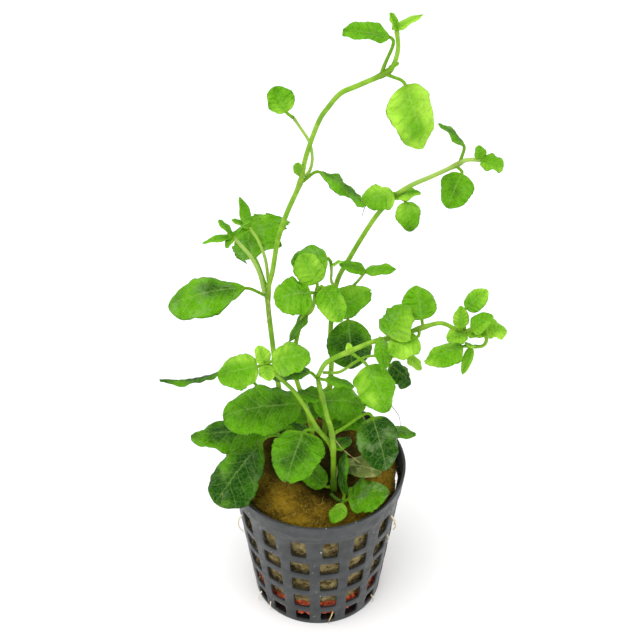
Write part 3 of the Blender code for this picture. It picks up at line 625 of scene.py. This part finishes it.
def pot_ring(mesh, radius, height, width, rounding):
    """Corners round the pot: HOLE_CELLS steps over each hole, BAR_CELLS over each bar."""
    ring = []
    pitch = 360.0 / POT_COLUMNS
    for column in range(POT_COLUMNS):
        middle = math.radians(FIRST_COLUMN + column * pitch)
        half = width / 2.0 / radius
        inset = rounding / radius
        angles = [middle - half + 2 * half * k / HOLE_CELLS for k in range(HOLE_CELLS)]
        angles[0] += inset
        bar = math.radians(pitch) - 2 * half
        angles += [middle + half + bar * k / BAR_CELLS for k in range(BAR_CELLS)]
        angles[HOLE_CELLS] -= inset
        for angle in angles:
            corner = Vector((radius * math.cos(angle), radius * math.sin(angle), height))
            ring.append(mesh.verts.new(corner * MM))
    return ring


def make_pot(material):
    """The moulded pot: wall and slotted floor with their holes, given thickness and soft edges."""
    mesh = bmesh.new()
    rings, open_rows = [], []
    for index, radius in enumerate(reversed(FLOOR_RINGS)):
        rings.append(pot_ring(mesh, radius, 0.0, radius * FLOOR_SLOT_SPREAD, 0.0))
        open_rows.append(index == 1)
    hole_ends = [height for foot, head, _ in HOLE_ROWS for height in (foot, head)]
    for height, width, opened in pot_levels():
        at_end = any(abs(height - end) < 0.01 for end in hole_ends)
        rounding = CORNER_ROUNDING if at_end else 0.0
        rings.append(pot_ring(mesh, pot_radius(height), height, width, rounding))
        open_rows.append(opened)
    count = len(rings[0])
    mesh.faces.new(list(reversed(rings[0])))
    for lower, upper, opened in zip(rings, rings[1:], open_rows):
        for corner in range(count):
            if opened and corner % (HOLE_CELLS + BAR_CELLS) < HOLE_CELLS:
                continue
            following = (corner + 1) % count
            mesh.faces.new((lower[corner], lower[following], upper[following], upper[corner]))
    data = bpy.data.meshes.new("fine_pot")
    finish_mesh(mesh, data)
    pot = bpy.data.objects.new("fine_pot", data)
    bpy.context.scene.collection.objects.link(pot)
    data.materials.append(material)
    wall = pot.modifiers.new("wall", "SOLIDIFY")
    wall.thickness = POT_WALL * MM
    wall.offset = -1.0
    edges = pot.modifiers.new("edges", "BEVEL")
    edges.width = EDGE_ROUNDING * MM
    edges.segments = 2
    edges.limit_method = "ANGLE"
    edges.angle_limit = math.radians(50)
    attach(pot, "root")
    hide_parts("pot")


def wool_top(x, y):
    """The height of the wool's top: a level bed with mounds and hollows on it."""
    top = WOOL_EDGE_TOP
    for middle_x, middle_y, high, reach in WOOL_SHAPES:
        top += high * math.exp(-((x - middle_x) ** 2 + (y - middle_y) ** 2) / reach**2)
    return top


def wool_lumps(spot):
    """Clumps of fibre, large and small."""
    lumps = noise.noise(spot * 0.28) * 0.7 + noise.noise(spot * 0.8) * 0.4
    return lumps + noise.noise(spot * 2.1) * 0.22


def wool_surface(radius, angle):
    """A point of the wool's top."""
    x, y = radius * math.cos(angle), radius * math.sin(angle)
    edge = step(15.0, fill_radius(44.0), radius)
    spot = Vector((x, y, wool_top(x, y)))
    height = spot.z - WOOL_EDGE_DROP * edge * edge + wool_lumps(spot) * (1 - 0.4 * edge)
    return Vector((x, y, height))


def make_wool(material):
    """The plug of wool as one lumpy body, closed over its top by ever smaller rings."""
    shape = Shape()
    angles = [2 * math.pi * side / WOOL_SIDES for side in range(WOOL_SIDES)]
    rings = []
    for level in range(WOOL_LEVELS):
        height = WOOL_FOOT + (WOOL_EDGE_TOP - 3.4 - WOOL_FOOT) * level / (WOOL_LEVELS - 1)
        ring = []
        for angle in angles:
            radius = fill_radius(height) - 0.35
            spot = Vector((radius * math.cos(angle), radius * math.sin(angle), height))
            radius += min(wool_lumps(spot * 1.3) * 0.9, 0.5)
            ring.append(Vector((radius * math.cos(angle), radius * math.sin(angle), height)))
        rings.append(ring)
    for level in range(WOOL_TOP_RINGS):
        radius = (fill_radius(43.5) - 0.2) * (1 - (level + 0.4) / (WOOL_TOP_RINGS + 0.5))
        rings.append([wool_surface(radius, angle) for angle in angles])
    shape.tube(rings, [(0.0, 0.0, 0.0, 0.0)] * len(rings))
    shape.object("wool_body", material, "rockwool", ["rockwool"])


def strand(shape, rng, start, heading, rise, length, radius, tone, side):
    """A short curly fibre, tapered at both ends."""
    point, path, radii = start, [], []
    turn, climb = rng.uniform(-50, 50), rng.uniform(-30, 30)
    for number in range(FIBRE_PIECES + 1):
        path.append(point)
        taper = math.sin(math.pi * (number + 0.4) / (FIBRE_PIECES + 0.8))
        radii.append(radius * (0.35 + 0.65 * taper))
        point = point + direction(heading, rise) * (length / FIBRE_PIECES)
        heading += turn * rng.uniform(0.3, 1.3)
        rise = max(min(rise + climb * rng.uniform(-0.6, 1.0), 60), -50)
    round_tube(shape, path, radii, 3, [(tone, side, 0.0, 0.0)] * len(path))


def make_fibres(material):
    """Loose fibres on the wool's top and on its side, where the pot's holes show them."""
    rng = random.Random(7)
    top, sides = Shape(), Shape()
    for _ in range(TOP_FIBRES):
        radius = fill_radius(43.0) * math.sqrt(rng.random())
        start = wool_surface(radius, rng.uniform(0, 2 * math.pi))
        start += Vector((0, 0, rng.uniform(-0.1, 0.25)))
        strand(top, rng, start, rng.uniform(0, 360), rng.uniform(-12, 30),
               rng.uniform(*TOP_FIBRE_LENGTHS), rng.uniform(*TOP_FIBRE_RADII), rng.random(), 0.0)
    for _ in range(SIDE_FIBRES):
        height = rng.uniform(WOOL_FOOT + 0.5, WOOL_EDGE_TOP - 4)
        angle = rng.uniform(0, 360)
        start = direction(angle, 0) * (fill_radius(height) - 0.1) + Vector((0, 0, height))
        heading = angle + rng.choice((90, 270)) + rng.uniform(-12, 12)
        strand(sides, rng, start, heading, rng.uniform(-25, 25),
               rng.uniform(*SIDE_FIBRE_LENGTHS), rng.uniform(*SIDE_FIBRE_RADII), rng.random(), 1.0)
    top.object("wool_top_fibres", material, "rockwool")
    sides.object("wool_side_fibres", material, "rockwool")


def add_grain(shape, rng, middle, size):
    """An uneven clay grain: a small ball of rings pushed in and out."""
    rings, notes = [], []
    seed = rng.uniform(0, 90)
    turn = Vector((rng.uniform(-1, 1), rng.uniform(-1, 1), rng.uniform(-1, 1))).normalized()
    across = turn.orthogonal().normalized()
    other = turn.cross(across)
    stretch = rng.uniform(0.7, 1.3)
    tone = rng.random()
    for row in range(GRAIN_ROWS):
        polar = math.pi * (row + 0.35) / (GRAIN_ROWS - 0.3)
        ring = []
        for side in range(GRAIN_SIDES):
            angle = 2 * math.pi * side / GRAIN_SIDES
            outward = across * math.cos(angle) + other * math.sin(angle)
            ray = turn * math.cos(polar) * stretch + outward * math.sin(polar)
            dent = 0.35 * noise.noise(ray * 1.6 + Vector((seed, seed, 0)))
            ring.append(middle + ray * size * (1 + dent))
        rings.append(ring)
        notes.append((tone, 0.0, 0.0, 0.0))
    shape.tube(rings, notes)


def make_clay(material):
    """A core with loose grains bedded in its side, its foot and its top."""
    rng = random.Random(11)
    shape = Shape()
    core = []
    for level in range(9):
        height = CLAY_FOOT + 0.8 + (CLAY_TOP - CLAY_FOOT - 1.6) * level / 8
        ring = []
        for side in range(60):
            outward = direction(side * 6, 0)
            spot = outward * (fill_radius(height) - 0.9) + Vector((0, 0, height))
            ring.append(spot + outward * noise.noise(spot * 0.9) * 0.4)
        core.append(ring)
    shape.tube(core, [(0.5, 0.0, 0.0, 0.0)] * len(core))
    for number in range(CLAY_GRAINS):
        size = rng.uniform(*GRAIN_SIZES)
        if number % 4:
            height = rng.uniform(CLAY_FOOT + size, CLAY_TOP - size)
            reach = fill_radius(height) - size
        else:
            height = rng.choice((CLAY_FOOT + size, CLAY_TOP - size))
            reach = (fill_radius(height) - size) * math.sqrt(rng.uniform(0.1, 1))
        middle = direction(rng.uniform(0, 360), 0) * reach + Vector((0, 0, height))
        add_grain(shape, rng, middle, size)
    shape.object("clay_grains", material, "clay", ["clay_layer"])


def make_roots(material):
    """Fine roots on the stems, and root ends that come out of the pot's holes."""
    shape = Shape()
    for radius, pale, points in ROOTS:
        path = smooth_path(points, PATH_STEPS)
        radii = [radius * (1 - 0.6 * index / len(path)) for index in range(len(path))]
        round_tube(shape, path, radii, 8, [(pale, 0.0, 0.0, 0.0)] * len(path))
    shape.object("hair_roots", material, "stem")


LEAF_DARK = srgb(30, 90, 0)
LEAF_MID = srgb(114, 188, 0)
LEAF_BRIGHT = srgb(204, 250, 84)
LEAF_VEIN = srgb(178, 216, 108)
LEAF_UNDER = srgb(122, 176, 50)
# Painted sheen: a pale colour that stands in for light reflected off the leaves
LEAF_PAINTED_SHEEN = srgb(172, 200, 138)
STALK_GREEN = srgb(136, 188, 40)
# Painted shade on the wool in the hollow that the stems rise from: its middle and reach in metres, and its
# colour
HOLLOW = (-0.002, 0.0055, 0.0)
HOLLOW_REACH = 0.02
HOLLOW_PAINTED_SHADE = srgb(30, 30, 4)


class Nodes:
    """A material and short ways to add and join its nodes."""

    def __init__(self, name, roughness, specular=0.5):
        self.material = bpy.data.materials.new(name)
        self.material.use_nodes = True
        self.tree = self.material.node_tree
        self.shader = self.tree.nodes["Principled BSDF"]
        self.shader.inputs["Roughness"].default_value = roughness
        self.shader.inputs["Specular IOR Level"].default_value = specular
        self.place = self.add("ShaderNodeTexCoord").outputs["Object"]

    def add(self, kind, values=None, **settings):
        node = self.tree.nodes.new(kind)
        for key, value in settings.items():
            setattr(node, key, value)
        for key, value in (values or {}).items():
            self.set(node.inputs[key], value)
        return node

    def set(self, socket, value):
        if isinstance(value, bpy.types.NodeSocket):
            self.tree.links.new(value, socket)
        else:
            socket.default_value = value

    def math(self, operation, *values):
        node = self.add("ShaderNodeMath", operation=operation)
        for socket, value in zip(node.inputs, values):
            self.set(socket, value)
        return node.outputs[0]

    def rise(self, value, low, high, start=0.0, end=1.0):
        """A smooth change from start to end as a value goes from low to high."""
        values = {"Value": value, "From Min": low, "From Max": high, "To Min": start, "To Max": end}
        node = self.add("ShaderNodeMapRange", values, interpolation_type="SMOOTHSTEP")
        return node.outputs[0]

    def mix(self, share, first, second):
        node = self.add("ShaderNodeMix", {0: share, 6: first, 7: second}, data_type="RGBA")
        return node.outputs[2]

    def noise(self, scale, detail=3.0, roughness=0.5):
        values = {"Vector": self.place, "Scale": scale, "Detail": detail, "Roughness": roughness}
        return self.add("ShaderNodeTexNoise", values).outputs["Fac"]

    def height(self):
        """The height above the surface, in metres."""
        return self.add("ShaderNodeSeparateXYZ", {0: self.place}).outputs[2]

    def hollow(self):
        """1 where shade is painted, in the shaded hollow that the stems rise from, 0 away from it."""
        off = self.add("ShaderNodeVectorMath", {0: self.place, 1: HOLLOW}, operation="SUBTRACT")
        level = {0: off.outputs[0], 1: (1.0, 1.0, 0.0)}
        off = self.add("ShaderNodeVectorMath", level, operation="MULTIPLY")
        away = self.add("ShaderNodeVectorMath", {0: off.outputs[0]}, operation="LENGTH")
        away = away.outputs["Value"]
        away = self.math("ADD", away, self.math("MULTIPLY_ADD", self.noise(180.0), 0.008, -0.004))
        return self.rise(away, HOLLOW_REACH, HOLLOW_REACH * 0.6)

    def looks(self):
        """The four numbers that each point carries."""
        node = self.add("ShaderNodeAttribute", attribute_name="looks")
        parts = self.add("ShaderNodeSeparateXYZ", {0: node.outputs["Vector"]})
        return [*parts.outputs, node.outputs["Alpha"]]

    def bump(self, height, strength, distance):
        values = {"Height": height, "Strength": strength, "Distance": distance}
        self.set(self.shader.inputs["Normal"], self.add("ShaderNodeBump", values).outputs["Normal"])

    def translucent(self, colour, share):
        """Lets light through, as thin leaves do."""
        output = self.tree.nodes["Material Output"]
        glow = self.add("ShaderNodeBsdfTranslucent", {"Color": colour})
        parts = {0: share, 1: self.shader.outputs[0], 2: glow.outputs[0]}
        both = self.add("ShaderNodeMixShader", parts)
        self.set(output.inputs["Surface"], both.outputs[0])


def leaf_material():
    """Leaf green: cloudy, with painted shade by the midrib, pale veins, a fine net and painted sheen on
    top.
    """
    n = Nodes("leaf", 0.42, 0.14)
    u, t, tone, face = n.looks()
    under = n.rise(face, 0.0, 1.0)
    painted_sheen = n.math("MAXIMUM", n.math("MULTIPLY", face, -1.0), 0.0)
    reach = n.math("ABSOLUTE", u)
    slant = n.math("MULTIPLY_ADD", reach, -VEIN_CURVE * VEIN_SLANT, VEIN_SLANT)
    slant = n.math("MULTIPLY", reach, slant)
    phase = n.math("MULTIPLY", n.math("SUBTRACT", t, slant), SIDE_VEINS)
    off_middle = n.math("ABSOLUTE", n.math("SUBTRACT", n.math("FRACT", phase), 0.5))
    side_vein = n.math("MULTIPLY", n.rise(off_middle, 0.43, 0.49), n.rise(reach, 0.95, 0.6))
    midrib = n.math("ADD", n.rise(reach, 0.04, 0.008, 0.0, 0.36), n.rise(reach, 0.12, 0.02, 0.0, 0.08))
    midrib = n.math("MULTIPLY", midrib, n.rise(t, 0.2, 1.0, 1.0, 0.5))
    cells = {"Vector": n.place, "Scale": 800.0}
    net = n.add("ShaderNodeTexVoronoi", cells, feature="DISTANCE_TO_EDGE").outputs["Distance"]
    clouds = n.noise(110.0, 2.0)
    shade = n.math("ADD", tone, n.math("MULTIPLY_ADD", clouds, 1.0, -0.5))
    # Painted shade darkens the green along the midrib's groove, and painted light lifts it a little
    # towards the edges
    shade = n.math("ADD", shade, n.rise(reach, 0.1, 0.7, -0.08, 0.04))
    green = n.mix(n.rise(shade, 0.0, 0.5), LEAF_DARK, LEAF_MID)
    green = n.mix(n.rise(shade, 0.45, 1.0), green, LEAF_BRIGHT)
    green = n.mix(n.rise(net, 0.12, 0.0, 0.0, 0.14), green, LEAF_VEIN)
    green = n.mix(n.math("MULTIPLY", side_vein, 0.24), green, LEAF_VEIN)
    green = n.mix(midrib, green, LEAF_VEIN)
    # Painted sheen: pale patches on the upper side, standing in for light reflected off the leaf
    patches = n.math("MULTIPLY", n.rise(n.noise(240.0, 3.0, 0.6), 0.47, 0.68), painted_sheen)
    green = n.mix(n.math("MULTIPLY", patches, 0.45), green, LEAF_PAINTED_SHEEN)
    green = n.mix(n.math("MULTIPLY", under, 0.55), green, LEAF_UNDER)
    green = n.mix(n.rise(t, 0.1, -0.02), green, STALK_GREEN)
    n.set(n.shader.inputs["Base Color"], green)
    n.set(n.shader.inputs["Roughness"], n.rise(n.noise(900.0, 2.0), 0.3, 0.7, 0.36, 0.52))
    pucker = n.math("MULTIPLY", n.noise(420.0, 2.0), 1.6)
    pucker = n.math("MULTIPLY_ADD", n.rise(net, 0.0, 0.4), 0.5, pucker)
    pucker = n.math("MULTIPLY_ADD", n.rise(off_middle, 0.3, 0.48), -0.3, pucker)
    n.bump(pucker, 0.7, 0.0006)
    n.translucent(green, 0.42)
    return n.material


def withered_material():
    """Dull olive with straw-coloured blotches and midrib."""
    n = Nodes("withered_leaf", 0.7)
    u, _, _, _ = n.looks()
    olive = n.mix(n.rise(n.noise(260.0, 4.0), 0.35, 0.65), srgb(120, 138, 56), srgb(84, 108, 30))
    blotches = n.rise(n.noise(420.0, 3.0), 0.52, 0.66, 0.0, 0.6)
    olive = n.mix(blotches, olive, srgb(186, 188, 118))
    midrib = n.rise(n.math("ABSOLUTE", u), 0.06, 0.01, 0.0, 0.7)
    olive = n.mix(midrib, olive, srgb(190, 192, 120))
    n.set(n.shader.inputs["Base Color"], olive)
    n.bump(n.noise(1500.0, 4.0), 0.4, 0.0002)
    n.translucent(olive, 0.3)
    return n.material


def stem_material():
    """Yellow green, browner at the joints, paler on young shoots and darker with painted shade near the
    wool.
    """
    n = Nodes("stem", 0.45, 0.3)
    _, near, pale, _ = n.looks()
    green = n.mix(n.rise(n.noise(220.0, 3.0), 0.35, 0.7), srgb(116, 168, 20), srgb(156, 200, 52))
    green = n.mix(pale, green, srgb(176, 206, 104))
    green = n.mix(n.math("MULTIPLY", near, 0.4), green, srgb(104, 130, 24))
    # Painted shade: the stems darken low down, near the wool, in the plant's shaded middle
    green = n.mix(n.rise(n.height(), 0.063, 0.05, 0.0, 0.8), green, srgb(44, 80, 8))
    n.set(n.shader.inputs["Base Color"], green)
    n.bump(n.noise(1800.0, 3.0), 0.25, 0.0001)
    n.translucent(green, 0.15)
    return n.material


def wool_material():
    """Golden brown on top, darkened with painted shade in the hollow round the stems, and khaki on the
    sides.
    """
    n = Nodes("wool", 0.95, 0.1)
    patches = n.rise(n.noise(140.0, 5.0, 0.65), 0.35, 0.68)
    brown = n.mix(patches, srgb(66, 48, 2), srgb(152, 120, 24))
    threads = n.rise(n.noise(1400.0, 4.0, 0.7), 0.4, 0.7, 0.0, 0.5)
    brown = n.mix(threads, brown, srgb(166, 140, 50))
    clumps = n.rise(n.noise(400.0, 5.0, 0.7), 0.35, 0.65)
    khaki = n.mix(clumps, srgb(84, 68, 34), srgb(168, 152, 104))
    # Painted shade: the wool darkens in the shaded hollow round the stems
    brown = n.mix(n.math("MULTIPLY", n.hollow(), 0.9), brown, HOLLOW_PAINTED_SHADE)
    brown = n.mix(n.rise(n.height(), 0.0425, 0.0405), brown, khaki)
    n.set(n.shader.inputs["Base Color"], brown)
    n.bump(n.noise(1600.0, 6.0, 0.75), 1.0, 0.0006)
    return n.material


def fibre_material():
    """Each fibre has its own tone of the wool's brown, or of khaki on the sides, and fibres in the hollow
    round the stems are darkened with painted shade.
    """
    n = Nodes("wool_fibre", 0.8, 0.1)
    tone, side, _, _ = n.looks()
    brown = n.mix(n.rise(tone, 0.0, 0.85), srgb(78, 56, 4), srgb(158, 128, 34))
    brown = n.mix(n.rise(tone, 0.85, 1.0), brown, srgb(206, 184, 100))
    brown = n.mix(n.rise(n.noise(120.0, 3.0), 0.42, 0.72, 0.0, 0.5), brown, srgb(96, 66, 8))
    khaki = n.mix(n.rise(tone, 0.0, 1.0), srgb(112, 94, 52), srgb(200, 186, 140))
    # Painted shade: fibres in the shaded hollow round the stems are darkened
    brown = n.mix(n.math("MULTIPLY", n.hollow(), 0.85), brown, HOLLOW_PAINTED_SHADE)
    brown = n.mix(side, brown, khaki)
    n.set(n.shader.inputs["Base Color"], brown)
    return n.material


def clay_material():
    """Fired clay, each grain in its own shade of orange red."""
    n = Nodes("clay", 0.85)
    tone, _, _, _ = n.looks()
    red = n.mix(tone, srgb(206, 74, 34), srgb(244, 116, 70))
    red = n.mix(n.rise(n.noise(900.0, 4.0), 0.5, 0.8), red, srgb(140, 54, 28))
    n.set(n.shader.inputs["Base Color"], red)
    n.bump(n.noise(3000.0, 4.0), 0.6, 0.0002)
    return n.material


def pot_material():
    """Charcoal plastic, slightly mottled, with a few pale specks of dust."""
    n = Nodes("pot_plastic", 0.4, 0.4)
    grey = n.mix(n.rise(n.noise(90.0, 4.0), 0.35, 0.7), srgb(34, 37, 38), srgb(52, 55, 56))
    specks = n.rise(n.noise(700.0, 2.0, 0.4), 0.735, 0.76)
    grey = n.mix(n.math("MULTIPLY", specks, 0.7), grey, srgb(190, 190, 180))
    n.set(n.shader.inputs["Base Color"], grey)
    n.set(n.shader.inputs["Roughness"], n.rise(n.noise(400.0, 4.0), 0.3, 0.7, 0.34, 0.55))
    n.bump(n.noise(1200.0, 4.0), 0.3, 0.0001)
    return n.material


def root_material():
    """From dark brown hair to creamy white root ends."""
    n = Nodes("root", 0.6)
    pale, _, _, _ = n.looks()
    brown = n.mix(n.rise(n.noise(500.0, 3.0), 0.4, 0.65), srgb(196, 176, 116), srgb(140, 108, 56))
    brown = n.mix(n.rise(pale, 0.3, 0.0), brown, srgb(66, 38, 30))
    brown = n.mix(n.rise(pale, 0.4, 1.0), brown, srgb(232, 222, 196))
    n.set(n.shader.inputs["Base Color"], brown)
    return n.material


def make_floor():
    bpy.ops.mesh.primitive_plane_add(size=FLOOR_SIZE, location=(0, 0, 0))
    floor = bpy.context.object
    floor.name = "floor"
    n = Nodes("floor", 0.8)
    n.set(n.shader.inputs["Base Color"], (0.92, 0.92, 0.92, 1.0))
    floor.data.materials.append(n.material)


def add_light(name, place, aim, size, power):
    """A round soft light that faces a point."""
    data = bpy.data.lights.new(name, "AREA")
    data.shape = "DISK"
    data.size = size
    data.energy = power
    light = bpy.data.objects.new(name, data)
    light.location = place
    light.rotation_euler = (Vector(aim) - Vector(place)).to_track_quat("-Z", "Y").to_euler()
    bpy.context.scene.collection.objects.link(light)


def make_studio():
    """White light from all round, a soft key and a weak fill."""
    scene = bpy.context.scene
    scene.view_settings.view_transform = "Standard"
    world = bpy.data.worlds.new("studio")
    world.use_nodes = True
    sky = world.node_tree.nodes["Background"]
    sky.inputs["Color"].default_value = (1.0, 1.0, 1.0, 1.0)
    sky.inputs["Strength"].default_value = 1.0
    scene.world = world
    add_light("key", (-0.35, -0.3, 1.2), (0, 0, 0.08), 1.1, 9.0)
    add_light("fill", (0.7, -0.3, 0.6), (0, 0, 0.1), 0.6, 1.5)


def make_camera():
    """The view from the front and above."""
    data = bpy.data.cameras.new("camera")
    data.lens = CAMERA_LENS
    data.sensor_width = CAMERA_SENSOR
    data.clip_start = 0.05
    data.clip_end = 10.0
    camera = bpy.data.objects.new("camera", data)
    camera.location = Vector(CAMERA_PLACE) * MM
    camera.rotation_euler = (math.radians(90 - CAMERA_DOWN), 0, 0)
    bpy.context.scene.collection.objects.link(camera)
    bpy.context.scene.camera = camera


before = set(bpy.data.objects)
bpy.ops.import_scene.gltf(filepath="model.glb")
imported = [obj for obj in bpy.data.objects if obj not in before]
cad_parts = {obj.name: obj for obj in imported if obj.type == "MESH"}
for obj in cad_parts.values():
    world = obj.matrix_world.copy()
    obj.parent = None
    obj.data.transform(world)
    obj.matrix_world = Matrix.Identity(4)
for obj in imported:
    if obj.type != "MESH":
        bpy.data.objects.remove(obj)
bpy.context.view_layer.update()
green_leaf = leaf_material()
make_leaves(green_leaf, withered_material())
make_stems(stem_material(), green_leaf)
make_pot(pot_material())
make_wool(wool_material())
make_fibres(fibre_material())
make_clay(clay_material())
make_roots(root_material())
make_floor()
make_studio()
make_camera()
